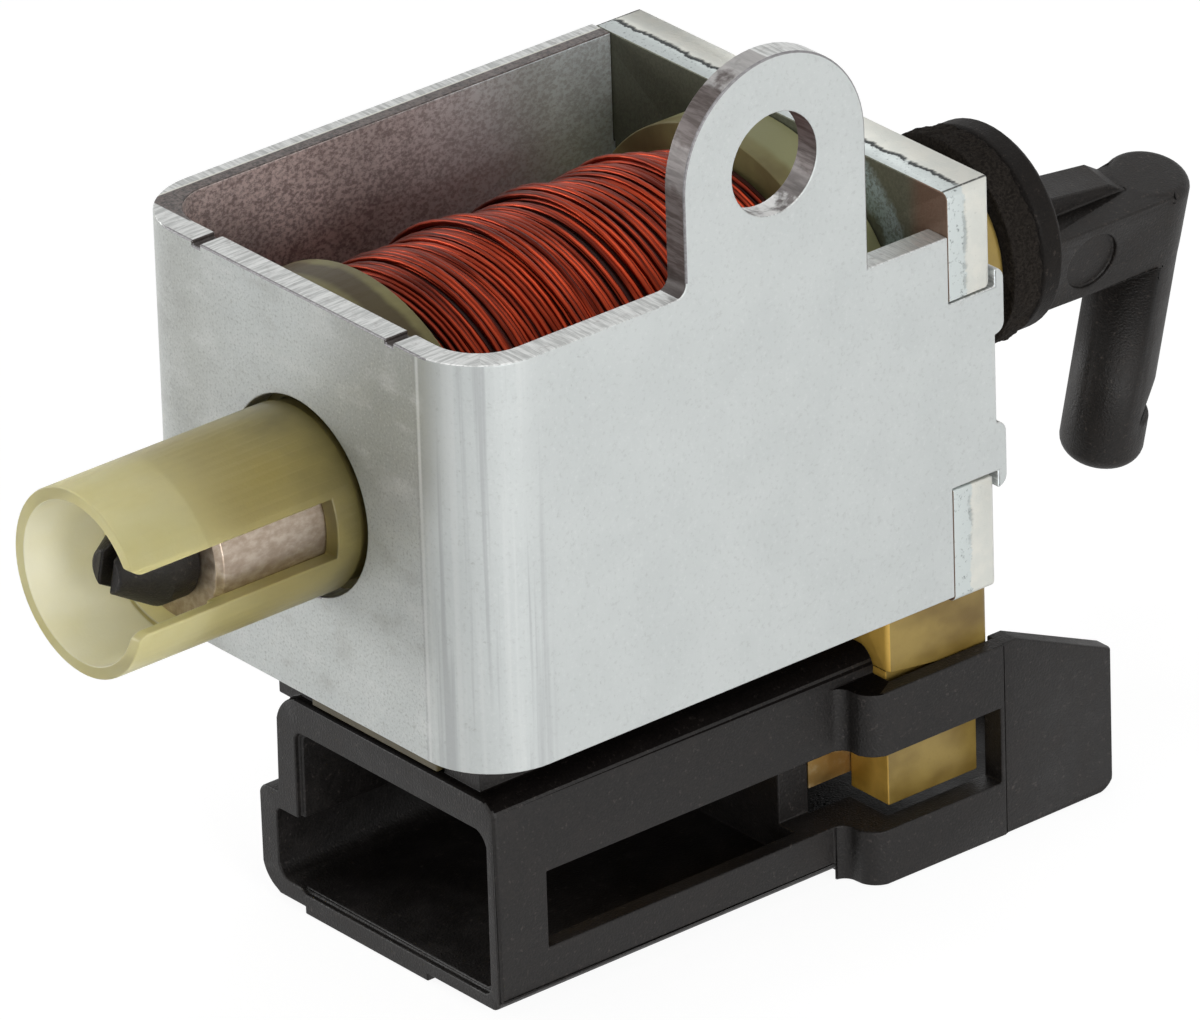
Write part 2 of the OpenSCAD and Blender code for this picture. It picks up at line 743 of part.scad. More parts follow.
// What the rear part holds: the leg's pocket, a space for the terminals' links and an open rear
module leg_pocket() {
    floor_z = conn_bottom + conn_wall;
    side = finger_out + 0.1;
    wide = leg_w / 2 + 0.1;
    block([wall_end, -link_y, floor_z], [leg_x, link_y, conn_top + 1]);
    block([leg_x - 0.1, -side, floor_z], [block_end - rear_wall, side, conn_top + 1]);
    block([leg_x - 0.1, -wide, bulge_top - 1.3], [pocket_end, wide, conn_top + 1]);
    block([pocket_end, -side, floor_z + rear_h], [block_end + 1, side, conn_top + 1]);
    // the cheeks stand back a little from the rails, which leaves a fine line between them
    for (y = [-bulge_y, bulge_y])
        block([pocket_end, y - 0.1, base_z - 1], [block_end + 1, y + 0.1, conn_top + 1]);
}

module connector_housing() {
    pad_low = pad_y - pad_w / 2;
    blade_slot = [blade_t + 0.1, blade_h + 0.1];
    window_low = window_top - window_h;
    color("darkslategray") difference() {
        union() {
            push_x(conn_x, pocket_end - 0.5) shroud_outline();
            block([conn_x, pad_low, base_z], [bulge_x + 1, pad_low + pad_w, conn_bottom + eps]);
            intersection() {
                push_y(-bulge_y, bulge_y) bulge_side();
                translate([0, 0, base_z]) linear_extrude(conn_h + pad_h) bulge_plan();
            }
            for (side = [-1, 1])
                translate([0, side * (rail_y + rail_w / 2), 0])
                    block([conn_x + 0.4, -rail_w / 2, conn_top - 0.5], [wall_start, rail_w / 2, rail_top]);
        }
        push_x(conn_x - 1, wall_start) plug_outline();
        leg_pocket();
        // long window in the near wall, into the plug's space and the terminals' space
        block([conn_x + window_x, -bulge_y - 1, window_low], [pocket_end - 0.3, 0.1 - link_y, window_top]);
        // slits for the terminals
        for (side = [-1, 1])
            translate([wall_start - 1, side * blade_pitch / 2 - blade_slot.x / 2, blade_top - blade_h - 0.05])
                cube([inner_wall + 2, blade_slot.x, blade_slot.y]);
        // lead-in round the mouth
        push_x(conn_x - 1, conn_x + 0.3) round_rect([-half_w + conn_wall - 0.25, conn_bottom + conn_wall - 0.25],
            [half_w - key_step - conn_wall - 0.55, conn_top - conn_roof + 0.25], 0.6, 0.6, 0.6, 1);
    }
}

// A stamped terminal: a blade in the plug's space, a link behind the inner wall and a tab in the leg
module terminal(side) {
    half = blade_t / 2;
    blade_y = blade_pitch / 2;
    tip = wall_start - blade_l;
    point = blade_t * 0.3;
    mirror([0, side < 0 ? 1 : 0, 0]) translate([0, 0, blade_top - blade_h]) linear_extrude(blade_h)
        polygon([[tip, blade_y - half + point], [tip + 1, blade_y - half], [link_x + blade_t, blade_y - half],
            [link_x + blade_t, tab_y - half], [tab_end, tab_y - half], [tab_end, tab_y + half],
            [link_x, tab_y + half], [link_x, blade_y + half], [tip + 1, blade_y + half], [tip, blade_y + half - point]]);
}

module terminal_near() {
    color("goldenrod") terminal(-1);
}

module terminal_far() {
    color("goldenrod") terminal(1);
}

frame();
end_plate();
bobbin();
coil_winding();
lead_start();
lead_finish();
pole_piece();
rear_guide();
plunger();
return_spring();
foam_bumper();
lock_arm();
connector_housing();
terminal_near();
terminal_far();
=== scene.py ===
"""Ignition lock solenoid: finishes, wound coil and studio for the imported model. Metres."""

import math
import random
import bpy
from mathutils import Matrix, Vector, noise


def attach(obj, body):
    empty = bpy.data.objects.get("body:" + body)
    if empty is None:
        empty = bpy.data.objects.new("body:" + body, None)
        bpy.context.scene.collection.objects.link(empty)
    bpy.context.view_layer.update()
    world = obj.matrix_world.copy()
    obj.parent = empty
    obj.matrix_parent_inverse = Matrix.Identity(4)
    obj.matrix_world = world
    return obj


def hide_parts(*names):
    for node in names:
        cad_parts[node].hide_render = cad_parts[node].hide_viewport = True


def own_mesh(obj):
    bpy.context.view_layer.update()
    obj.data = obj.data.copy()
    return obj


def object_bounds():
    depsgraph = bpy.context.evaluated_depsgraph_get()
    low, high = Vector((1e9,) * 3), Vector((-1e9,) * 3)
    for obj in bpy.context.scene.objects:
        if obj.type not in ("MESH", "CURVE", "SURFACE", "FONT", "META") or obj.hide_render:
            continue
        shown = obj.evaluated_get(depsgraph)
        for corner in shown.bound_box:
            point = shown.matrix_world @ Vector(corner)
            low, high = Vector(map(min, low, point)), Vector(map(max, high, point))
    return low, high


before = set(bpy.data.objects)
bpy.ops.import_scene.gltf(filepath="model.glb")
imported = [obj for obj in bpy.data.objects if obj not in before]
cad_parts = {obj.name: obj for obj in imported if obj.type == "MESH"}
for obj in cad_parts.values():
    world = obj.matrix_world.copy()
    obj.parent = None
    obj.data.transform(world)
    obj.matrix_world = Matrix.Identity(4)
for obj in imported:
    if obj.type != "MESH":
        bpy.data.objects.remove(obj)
cad_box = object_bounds()
MM = 0.001

# Camera at the photograph's angle

SENSOR_WIDTH = 36
LENS = 480.48
CAMERA_PLACE = (-0.43769, -0.56502, 0.35942)
CAMERA_TURN = (63.1999, 1.6484, -39.7952)

camera_data = bpy.data.cameras.new("studio_camera")
camera_data.sensor_fit = "HORIZONTAL"
camera_data.sensor_width = SENSOR_WIDTH
camera_data.lens = LENS
camera_data.clip_start = 0.05
camera_data.clip_end = 10
camera = bpy.data.objects.new("studio_camera", camera_data)
camera.location = CAMERA_PLACE
camera.rotation_euler = [math.radians(angle) for angle in CAMERA_TURN]
bpy.context.scene.collection.objects.link(camera)
bpy.context.scene.camera = camera
bpy.context.scene.view_settings.view_transform = "Standard"

# Working on one piece at a time, with lengths in millimetres

SAME_POINT = 0.002
FLAT = math.radians(0.4)
WARPED = math.radians(1)
SMOOTH_BELOW = math.radians(35)
SHARP_ABOVE = math.radians(40)
ROUNDING_STEPS = 3


def pick(*pieces):
    """Leaves only these pieces selected, and the first of them active."""
    bpy.ops.object.select_all(action="DESELECT")
    for piece in pieces:
        piece.select_set(True)
    bpy.context.view_layer.objects.active = pieces[0]


def softened_copy(node, name, width, join=0.05, shape=None):
    """A copy of a CAD node: its triangles joined into faces, shaped if asked, and its edges rounded."""
    piece = bpy.data.objects.new(name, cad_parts[node].data.copy())
    bpy.context.scene.collection.objects.link(piece)
    pick(piece)
    bpy.ops.object.mode_set(mode="EDIT")
    bpy.ops.mesh.select_all(action="SELECT")
    bpy.ops.mesh.remove_doubles(threshold=SAME_POINT * MM)
    bpy.ops.mesh.dissolve_limited(angle_limit=FLAT)
    bpy.ops.mesh.select_all(action="SELECT")
    bpy.ops.mesh.remove_doubles(threshold=join * MM)
    if shape:
        shape(piece)
    bpy.ops.mesh.select_all(action="SELECT")
    bpy.ops.mesh.vert_connect_nonplanar(angle_limit=WARPED)
    bpy.ops.mesh.select_all(action="SELECT")
    bpy.ops.mesh.vert_connect_concave()
    bpy.ops.object.mode_set(mode="OBJECT")
    bpy.ops.object.shade_smooth_by_angle(angle=SMOOTH_BELOW)
    edge = piece.modifiers.new("edge", "BEVEL")
    edge.width = width * MM
    edge.segments = ROUNDING_STEPS
    edge.harden_normals = True
    edge.limit_method = "ANGLE"
    edge.angle_limit = SHARP_ABOVE
    edge.loop_slide = False
    edge.use_clamp_overlap = False
    bpy.ops.object.modifier_apply(modifier="edge")
    piece.data.materials.clear()
    return piece


def round_edges(piece, chosen, radius, steps):
    """Rounds those edges of a piece in Edit Mode that are chosen by their two ends."""
    bpy.ops.mesh.select_mode(type="EDGE")
    bpy.ops.mesh.select_all(action="DESELECT")
    bpy.ops.object.mode_set(mode="OBJECT")
    for edge in piece.data.edges:
        ends = [piece.data.vertices[i].co / MM for i in edge.vertices]
        edge.select = chosen(ends)
    bpy.ops.object.mode_set(mode="EDIT")
    bpy.ops.mesh.bevel(offset=radius * MM, segments=steps, affect="EDGES")
    bpy.ops.mesh.select_mode(type="VERT")


def finish_faces(piece, finishes, choose):
    """Gives each face of a piece one of its finishes, chosen by the face's middle and its normal."""
    for finish in finishes:
        piece.data.materials.append(finish)
    for face in piece.data.polygons:
        face.material_index = finishes.index(choose(face.center / MM, face.normal))


def settle(piece, body, node):
    """Puts a finished piece on its body, in the place of its CAD node."""
    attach(piece, body)
    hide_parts(node)


# Mixing finishes from grains, positions and coats of colour


class Mixing:
    """One node tree, and the steps by which values and colours are mixed in it."""

    def __init__(self, tree):
        self.tree = tree

    def feed(self, value, socket):
        """Links a socket, or sets a plain number or colour on it."""
        if isinstance(value, bpy.types.NodeSocket):
            self.tree.links.new(value, socket)
        elif isinstance(value, (tuple, list)):
            socket.default_value = (*value, 1)
        else:
            socket.default_value = value

    def places(self, stretch=(1, 1, 1), shift=(0, 0, 0)):
        """Places on the piece in millimetres, stretched along its axes."""
        place = self.tree.nodes.new("ShaderNodeTexCoord")
        mapping = self.tree.nodes.new("ShaderNodeMapping")
        mapping.inputs["Scale"].default_value = [share / MM for share in stretch]
        mapping.inputs["Location"].default_value = shift
        self.tree.links.new(place.outputs["Object"], mapping.inputs["Vector"])
        return mapping.outputs["Vector"]

    def axis(self, name):
        """One coordinate of the places."""
        parts = self.tree.nodes.new("ShaderNodeSeparateXYZ")
        self.tree.links.new(self.places(), parts.inputs["Vector"])
        return parts.outputs[name]

    def grain(self, scale, detail=3, rough=0.55, stretch=(1, 1, 1), shift=(0, 0, 0)):
        """Cloudy grain from 0 to 1."""
        cloud = self.tree.nodes.new("ShaderNodeTexNoise")
        cloud.inputs["Scale"].default_value = scale
        cloud.inputs["Detail"].default_value = detail
        cloud.inputs["Roughness"].default_value = rough
        self.tree.links.new(self.places(stretch, shift), cloud.inputs["Vector"])
        return cloud.outputs["Fac"]

    def between(self, value, low, high, to_low=0.0, to_high=1.0):
        """A value spread from one range to another, eased at its ends."""
        spread = self.tree.nodes.new("ShaderNodeMapRange")
        spread.interpolation_type = "SMOOTHSTEP"
        spread.inputs["From Min"].default_value = low
        spread.inputs["From Max"].default_value = high
        spread.inputs["To Min"].default_value = to_low
        spread.inputs["To Max"].default_value = to_high
        self.feed(value, spread.inputs["Value"])
        return spread.outputs["Result"]

    def worked(self, operation, first, second=0):
        """One operation on two values."""
        step = self.tree.nodes.new("ShaderNodeMath")
        step.operation = operation
        self.feed(first, step.inputs[0])
        self.feed(second, step.inputs[1])
        return step.outputs["Value"]

    def product(self, first, *others):
        """Values multiplied together."""
        for other in others:
            first = self.worked("MULTIPLY", first, other)
        return first

    def blend(self, share, first, second):
        """Two colours mixed by a share."""
        mixer = self.tree.nodes.new("ShaderNodeMix")
        mixer.data_type = "RGBA"
        self.feed(share, mixer.inputs["Factor"])
        self.feed(first, mixer.inputs[6])
        self.feed(second, mixer.inputs[7])
        return mixer.outputs[2]


class Finish(Mixing):
    """A material whose colour is laid on in coats, over the plain values of its shader."""

    def __init__(self, name, **sockets):
        self.material = bpy.data.materials.new(name)
        self.material.use_nodes = True
        super().__init__(self.material.node_tree)
        self.shader = self.tree.nodes["Principled BSDF"]
        for socket, value in sockets.items():
            self.shader.inputs[socket.replace("_", " ")].default_value = value

    def ground(self, share, first, second):
        """The first coat, mixed from two colours."""
        self.colour = self.blend(share, first, second)

    def coat(self, colour, *shares):
        """A further coat, as strong as its shares multiplied together."""
        self.colour = self.blend(self.product(*shares), self.colour, colour)

    def finished(self, relief=None, depth=0, roughness=None):
        """The material with its coats, any relief of a given depth and any uneven roughness."""
        self.tree.links.new(self.colour, self.shader.inputs["Base Color"])
        if roughness is not None:
            self.tree.links.new(roughness, self.shader.inputs["Roughness"])
        if relief is not None:
            bump = self.tree.nodes.new("ShaderNodeBump")
            bump.inputs["Strength"].default_value = 1
            bump.inputs["Distance"].default_value = depth * MM
            self.tree.links.new(relief, bump.inputs["Height"])
            self.tree.links.new(bump.outputs["Normal"], self.shader.inputs["Normal"])
        return self.material


# Finishes of the steel


def zinc_plate():
    """Satin zinc: an even grey with a fine peel, marks on the front and the near bend, and painted shade and
    highlights.
    """
    mix = Finish("zinc_plate", Metallic=0.2)
    across = mix.axis("X")
    deep = mix.axis("Y")
    high = mix.axis("Z")
    cloud = mix.grain(0.22)
    peel = mix.grain(5, 2)
    mix.ground(mix.between(cloud, 0.3, 0.7), (0.572, 0.602, 0.595), (0.608, 0.638, 0.63))
    mix.coat((0.40, 0.415, 0.405), mix.between(peel, 0.56, 0.74, 0, 0.3))
    mix.coat((0.72, 0.74, 0.73), mix.between(peel, 0.42, 0.26, 0, 0.28))

    # Dark pits, most of them on the front
    pits = mix.grain(1.5, 5, 0.72, shift=(3, 8, 5))
    mix.coat((0.33, 0.34, 0.325), mix.between(pits, 0.6, 0.74, 0, 0.6), mix.between(across, 3, 0.3, 0.3, 1))

    # Light and dark streaks down the near bend: bend lines, the light ones painted highlight and the dark
    # ones painted shade
    near_bend = mix.product(mix.between(across, 5.4, 3.6), mix.between(deep, -8.8, -9.8))
    streak = mix.grain(1.0, 3, 0.5, stretch=(1.5, 1.5, 0.03))
    mix.coat((0.70, 0.72, 0.71), near_bend, mix.between(streak, 0.52, 0.66, 0, 0.4))
    mix.coat((0.40, 0.415, 0.42), near_bend, mix.between(streak, 0.45, 0.34, 0, 0.6))

    # Scuffs beside the bend
    beside_bend = mix.product(mix.between(across, 4.4, 5.2), mix.between(across, 10, 7.5))
    scuff = mix.grain(1.0, 5, 0.75, stretch=(2.6, 2.6, 1.3))
    mix.coat((0.33, 0.345, 0.34), beside_bend, mix.between(scuff, 0.63, 0.7, 0, 0.55))

    # Painted shadow of the tube on the front's upper near side, and the front darker towards its far side
    front = mix.between(across, 1.2, 0.6)
    tube_shadow = mix.product(mix.between(deep, 1, -7), mix.between(deep, -12, -10))
    mix.coat((0.30, 0.305, 0.28), front, tube_shadow, mix.between(high, 1, 5.5), 0.72)
    mix.coat((0.42, 0.425, 0.38), front, mix.between(deep, 4, 9), 0.4)

    # Smudges and grit on the flat of the front
    flat_front = mix.product(front, mix.between(deep, -10.4, -9.4))
    smudge = mix.grain(0.8, 4, 0.62, stretch=(0.6, 0.3, 0.6))
    mix.coat((0.72, 0.735, 0.725), flat_front, mix.between(smudge, 0.5, 0.7, 0, 0.45))
    mix.coat((0.38, 0.385, 0.365), flat_front, mix.between(smudge, 0.48, 0.3, 0, 0.4))
    grit = mix.grain(7, 3, 0.65, shift=(1, 6, 2))
    mix.coat((0.21, 0.215, 0.205), flat_front, mix.between(grit, 0.52, 0.68, 0, 0.42))
    mix.coat((0.78, 0.79, 0.77), flat_front, mix.between(grit, 0.46, 0.3, 0, 0.32))

    # A painted highlight: a bright line where the near bend starts
    bend_highlight = mix.product(mix.between(deep, -9.6, -9.72), mix.between(deep, -9.94, -9.8))
    mix.coat((0.84, 0.86, 0.85), bend_highlight, front, 0.5)
    return mix.finished(peel, 0.01, roughness=mix.between(cloud, 0.2, 0.8, 0.48, 0.4))


def cut_strip(name, stretch):
    """The strip's sheared edge: bright with fine lines, and dark along the far wall's inner half."""
    mix = Finish(name, Metallic=0.6)
    across = mix.axis("X")
    deep = mix.axis("Y")
    lines = mix.grain(1.0, 4, 0.65, stretch)
    spots = mix.grain(2.2)
    mix.ground(mix.between(lines, 0.35, 0.65), (0.46, 0.47, 0.46), (0.75, 0.76, 0.745))
    mix.coat((0.32, 0.30, 0.29), mix.between(spots, 0.56, 0.76, 0, 0.5))
    far_wall = mix.product(mix.between(across, 1.28, 1.38), mix.between(deep, 9.6, 9.9))
    lip = mix.product(mix.between(deep, 13.1, 13.15), mix.between(deep, 13.25, 13.17))
    mix.coat((0.76, 0.75, 0.66), far_wall, lip)
    inner_grain = mix.grain(5.6, 4, 0.62)
    dark_mark = mix.blend(mix.between(inner_grain, 0.36, 0.62), (0.05, 0.042, 0.04), (0.15, 0.122, 0.112))
    mix.coat(dark_mark, far_wall, mix.between(deep, 13.16, 13.08))
    return mix.finished(lines, 0.015, roughness=mix.between(lines, 0.3, 0.7, 0.5, 0.3))


def torn_cut(name, bright):
    """A punched side of the ear: brown-grey where the steel tore, brighter in some spans of its height."""
    edge = 0.3
    mix = Finish(name, Metallic=0.3, Roughness=0.5)
    lines = mix.grain(1.0, 4, 0.65, stretch=(4, 0.5, 4))
    streaks = mix.between(lines, 0.35, 0.65)
    height = mix.worked("ADD", mix.axis("Z"), mix.between(mix.grain(1.1), 0.2, 0.8, -0.5, 0.5))
    mix.ground(streaks, (0.065, 0.048, 0.043), (0.16, 0.135, 0.13))
    mix.coat((0.03, 0.024, 0.021), mix.between(height, 12.9, 12.1, 0, 0.6))
    pale = mix.blend(streaks, (0.86, 0.86, 0.85), (1.0, 1.0, 0.985))
    share = 0
    for low, high, strength in bright:
        above = mix.between(height, low - edge, low + edge, 0, strength)
        below = mix.between(height, high + edge, high - edge)
        share = mix.worked("MAXIMUM", share, mix.product(above, below))
    mix.coat(pale, share)
    return mix.finished(lines, 0.015)


def zinc_inside(name, dark, light, far, freckled, ear=None):
    """The strip's inner side: dull, with dark freckles, greyer towards the end plate and plain on the ear."""
    mix = Finish(name, Metallic=0.55, Roughness=0.5)
    across = mix.axis("X")
    freckle = mix.grain(5.6, 4, 0.62, stretch=(0.75, 1, 1))
    cloud = mix.grain(0.25)
    mix.ground(mix.between(across, 11, 26), light, far)
    mix.coat(dark, mix.between(across, 12, 26, 1, 0.42), mix.between(freckle, 0.62, 0.36, 0, freckled))
    mix.coat(dark, mix.between(across, 26, 12), mix.between(cloud, 0.35, 0.7, 0, 0.35))
    if ear:
        mix.coat(ear, mix.between(mix.axis("Z"), 11.4, 13.5, 0, 0.85))
    return mix.finished(freckle, 0.02)


def sheared_plate():
    """The thick plate's sheared edge: a speckled band, a dark torn line and a smooth cream band."""
    mix = Finish("sheared_plate", Metallic=0.35)
    wander = mix.grain(1.1, 5, 0.72, stretch=(0.3, 1, 1))
    depth = mix.worked("ADD", mix.axis("X"), mix.between(wander, 0.25, 0.75, -0.17, 0.17))
    aside = mix.worked("ABSOLUTE", mix.axis("Y"))
    speckle = mix.grain(4.5, 4, 0.65)
    patches = mix.grain(0.8)
    cream = mix.blend(mix.between(patches, 0.35, 0.7), (0.70, 0.71, 0.66), (0.76, 0.755, 0.69))
    cream = mix.blend(mix.between(speckle, 0.64, 0.76, 0, 0.5), cream, (0.40, 0.40, 0.36))
    mix.ground(mix.between(speckle, 0.56, 0.72), (0.62, 0.67, 0.66), (0.24, 0.27, 0.27))
    mix.coat(cream, mix.between(depth, 32.1, 32.25))

    # The torn line has gaps, and is faint on the plate's sides
    line = mix.product(mix.between(depth, 31.97, 32.03), mix.between(depth, 32.38, 32.14))
    gaps = mix.grain(0.7, 3, 0.6)
    on_top = mix.product(mix.between(aside, 13.5, 13.3), mix.between(gaps, 0.28, 0.42))
    on_side = mix.product(mix.between(aside, 13.3, 13.5), mix.between(gaps, 0.5, 0.6, 0, 0.3))
    dark_mark = mix.product(line, mix.worked("MAXIMUM", on_top, on_side))
    mix.coat((0.035, 0.04, 0.04), dark_mark)

    # A crack along the upper corner
    crack = mix.product(mix.between(aside, 13.42, 13.48), mix.between(aside, 13.62, 13.54))
    upper = mix.between(mix.axis("Z"), 10.9, 11.1)
    mix.coat((0.05, 0.05, 0.045), crack, upper, mix.between(speckle, 0.3, 0.45))
    relief = mix.worked("SUBTRACT", mix.product(speckle, 0.35), dark_mark)
    return mix.finished(relief, 0.06, roughness=mix.between(patches, 0.3, 0.7, 0.55, 0.4))


def plate_inner_face():
    """The thick plate's inner face: dull, with a painted bluish reflection aslant and a painted brown
    reflection of the coil beside the near wall.
    """
    mix = Finish("plate_inside", Metallic=0.55, Roughness=0.5)
    mottle = mix.grain(5.6, 4, 0.62)
    cloud = mix.grain(0.5, 4, 0.6)
    nearness = mix.product(mix.axis("Y"), -1)
    aslant = mix.worked("ADD", mix.product(mix.axis("Z"), 1.09), nearness)
    aslant = mix.worked("ADD", aslant, mix.between(cloud, 0.25, 0.75, -0.7, 0.7))
    bluish_reflection = mix.product(mix.between(aslant, 19.9, 18.7, 0, 0.8), mix.between(aslant, 16.4, 17.4))
    mix.ground(mix.between(mottle, 0.62, 0.36, 0, 0.4), (0.125, 0.13, 0.092), (0.065, 0.068, 0.05))
    # Painted reflection: a bluish streak aslant
    mix.coat((0.36, 0.455, 0.48), bluish_reflection, mix.between(mottle, 0.38, 0.58, 0.35, 1))
    # Painted reflection of the copper coil: brown beside the near wall
    mix.coat((0.19, 0.085, 0.055), mix.between(nearness, 10.6, 12, 0, 0.55))
    return mix.finished(mottle, 0.02)


def ground_steel(name, light, dark, stretch, roughness):
    """Turned or drawn steel with fine lines."""
    mix = Finish(name, Metallic=0.85, Roughness=roughness)
    lines = mix.grain(1.0, 4, 0.6, stretch)
    stain = mix.grain(0.6, 4, 0.6)
    mix.ground(mix.between(lines, 0.3, 0.7), dark, light)
    mix.coat(dark, mix.between(stain, 0.5, 0.75, 0, 0.5))
    return mix.finished(lines, 0.015)


# Finishes of the plastics, the wire, the foam and the brass


def natural_nylon(name, pale, deep, clear, root_shade=None, bands=(), gloss=0.5):
    """Natural nylon: see-through enough to glow, cloudy, with a fine moulded skin.

    It is painted deeper towards the tube's root as shade, and each band along the axis is painted shade or
    light.
    """
    mix = Finish(name, Roughness=0.42, IOR=1.5, Transmission_Weight=clear, Specular_IOR_Level=gloss)
    across = mix.axis("X")
    cloud = mix.grain(0.3, stretch=(0.75, 1, 1))
    skin = mix.grain(6)
    mix.ground(mix.between(cloud, 0.3, 0.7), deep, pale)
    mix.coat(deep, mix.between(skin, 0.55, 0.8, 0, 0.2))
    # Painted shade: deeper where the plunger lies inside the tube, darker still next to the frame
    if root_shade:
        place = mix.worked("ADD", across, mix.between(cloud, 0.2, 0.8, -1.5, 1.5))
        mix.coat(root_shade, mix.between(place, -11.5, -5, 0, 0.75))
        mix.coat([0.36 * part for part in root_shade], mix.between(place, -4, 0, 0, 0.75))
    # Bands along the axis: painted shade or painted light
    for first, last, colour in bands:
        place = mix.worked("ADD", across, mix.between(cloud, 0.2, 0.8, -0.2, 0.2))
        after_first = mix.between(place, first - 0.3, first + 0.3, 0, 0.85)
        before_last = mix.between(place, last + 0.25, last - 0.25)
        mix.coat(colour, after_first, before_last)
    return mix.finished(skin, 0.012)


def black_plastic(name, base, dusty, roughness, gloss=0.28):
    """Moulded black plastic: a fine spark grain, dusty paler patches and a few light specks."""
    mix = Finish(name, Specular_IOR_Level=gloss)
    spark = mix.grain(8, 2, 0.5)
    dust = mix.grain(0.5, 5, 0.65)
    speck = mix.grain(3.2, 4, 0.7, shift=(4, 9, 2))
    mix.ground(mix.between(dust, 0.45, 0.75, 0, 0.8), base, dusty)
    mix.coat(dusty, mix.between(spark, 0.35, 0.65, 0, 0.45))
    mix.coat([5 * part for part in dusty], mix.between(speck, 0.58, 0.72, 0, 0.5))
    uneven = mix.between(dust, 0.3, 0.7, roughness - 0.06, roughness + 0.06)
    return mix.finished(spark, 0.035, roughness=uneven)


def wire_enamel():
    """Copper wire under clear red-brown enamel, uneven from turn to turn and darker at the front."""
    mix = Finish("wire_enamel", Metallic=0.92, Roughness=0.33)
    turns = mix.grain(1.0, 3, 0.6, stretch=(2.4, 0.12, 0.12))
    mix.ground(mix.between(turns, 0.3, 0.7), (0.062, 0.0055, 0.0017), (0.365, 0.043, 0.0145))
    mix.coat((0.06, 0.008, 0.0035), mix.between(mix.axis("X"), 14, 6, 0, 0.35))
    return mix.finished(turns, 0.01)


def painted_shade_enamel():
    """The turns under the top layer, painted almost dark as shade in the gaps between the top turns."""
    mix = Finish("painted_shade_enamel", Metallic=0.4, Roughness=0.6)
    turns = mix.grain(1.0, 3, 0.6, stretch=(3, 0.12, 0.12))
    mix.ground(mix.between(turns, 0.3, 0.7), (0.008, 0.001, 0.0005), (0.05, 0.005, 0.0018))
    return mix.finished()


def sponge():
    """Black foam with a fine grain of open cells and a few dusty specks."""
    mix = Finish("sponge", Roughness=0.95, Specular_IOR_Level=0.1)
    cells = mix.grain(6.5, 4, 0.7)
    clouds = mix.grain(0.9)
    dust = mix.grain(5, 3, 0.6, shift=(7, 3, 5))
    mix.ground(mix.between(cells, 0.38, 0.62), (0.010, 0.0082, 0.007), (0.034, 0.0285, 0.024))
    mix.coat((0.019, 0.016, 0.0135), mix.between(clouds, 0.4, 0.7, 0, 0.5))
    mix.coat((0.14, 0.125, 0.105), mix.between(dust, 0.7, 0.78, 0, 0.6))
    return mix.finished(cells, 0.09)


def stamped_brass():
    """Stamped brass under a thin tin flash, worn through in patches."""
    mix = Finish("stamped_brass", Metallic=0.85)
    worn = mix.grain(0.8, 4, 0.6)
    mix.ground(mix.between(worn, 0.5, 0.75), (0.42, 0.26, 0.085), (0.54, 0.42, 0.24))
    return mix.finished(roughness=mix.between(worn, 0.3, 0.7, 0.28, 0.45))


zinc = zinc_plate()
edge_front = cut_strip("cut_edge_front", stretch=(0.5, 5.5, 1))
edge_side = cut_strip("cut_edge_side", stretch=(5.5, 0.5, 5.5))
ear_side = torn_cut("torn_ear_side", bright=[(16.9, 19.2, 0.1), (21.9, 30, 0.42)])
# The ear hole's bottom, which faces up, is painted pale: painted light on its upward face
hole_side = torn_cut("torn_hole", bright=[(0, 14.1, 1.0), (13.9, 15.3, 0.1)])
# The rolled rims of the front and the ear: a dark burr with painted shade where the rounded edge turns from
# the light
rolled_edge_shade = zinc_inside("rolled_edge_shade", dark=(0.13, 0.12, 0.125), light=(0.30, 0.295, 0.30),
                          far=(0.30, 0.295, 0.30), freckled=0.6)
inside = zinc_inside("zinc_inside", dark=(0.22, 0.178, 0.167), light=(0.74, 0.645, 0.61),
                     far=(0.92, 0.98, 1.0), freckled=0.8, ear=(0.58, 0.605, 0.595))
plate_edge = sheared_plate()
plate_inside = plate_inner_face()
plunger_steel = ground_steel("ground_plunger", light=(0.47, 0.395, 0.325), dark=(0.33, 0.26, 0.20),
                             stretch=(1.6, 2.6, 2.6), roughness=0.42)
pole_steel = ground_steel("turned_pole", light=(0.52, 0.50, 0.48), dark=(0.34, 0.32, 0.30),
                          stretch=(6, 0.4, 0.4), roughness=0.4)
spring_steel = ground_steel("spring_wire", light=(0.58, 0.58, 0.59), dark=(0.36, 0.36, 0.37),
                            stretch=(3, 3, 3), roughness=0.3)
# The tube's nylon, painted deeper towards its root as shade
nylon = natural_nylon("natural_nylon", pale=(0.90, 0.85, 0.51), deep=(0.83, 0.76, 0.37), clear=0.7,
                      root_shade=(0.52, 0.425, 0.115))
# The mouth's inside, painted paler: painted light for the light that comes through the wall
nylon_mouth_painted_light = natural_nylon("mouth_nylon_painted_light", pale=(0.98, 0.96, 0.83), deep=(0.95, 0.92, 0.73), clear=0.55)
# The flanges: a darker painted-shade copy of the nylon, with a band of painted shade on the front rim and a
# paler band of painted light on the rear rim
front_rim_shade = (2.35, 3.85, (0.058, 0.036, 0.014))
rear_rim_light = (28.8, 31.2, (0.36, 0.36, 0.19))
nylon_flange_shade = natural_nylon("flange_nylon_shade", pale=(0.30, 0.275, 0.12), deep=(0.19, 0.155, 0.066), clear=0.1,
                             bands=[front_rim_shade, rear_rim_light], gloss=0.15)
# The leg: deeper amber where the nylon is thick, and darker with painted shade
nylon_leg_and_shade = natural_nylon("thick_nylon_and_shade", pale=(0.40, 0.28, 0.072), deep=(0.18, 0.11, 0.018), clear=0.15)
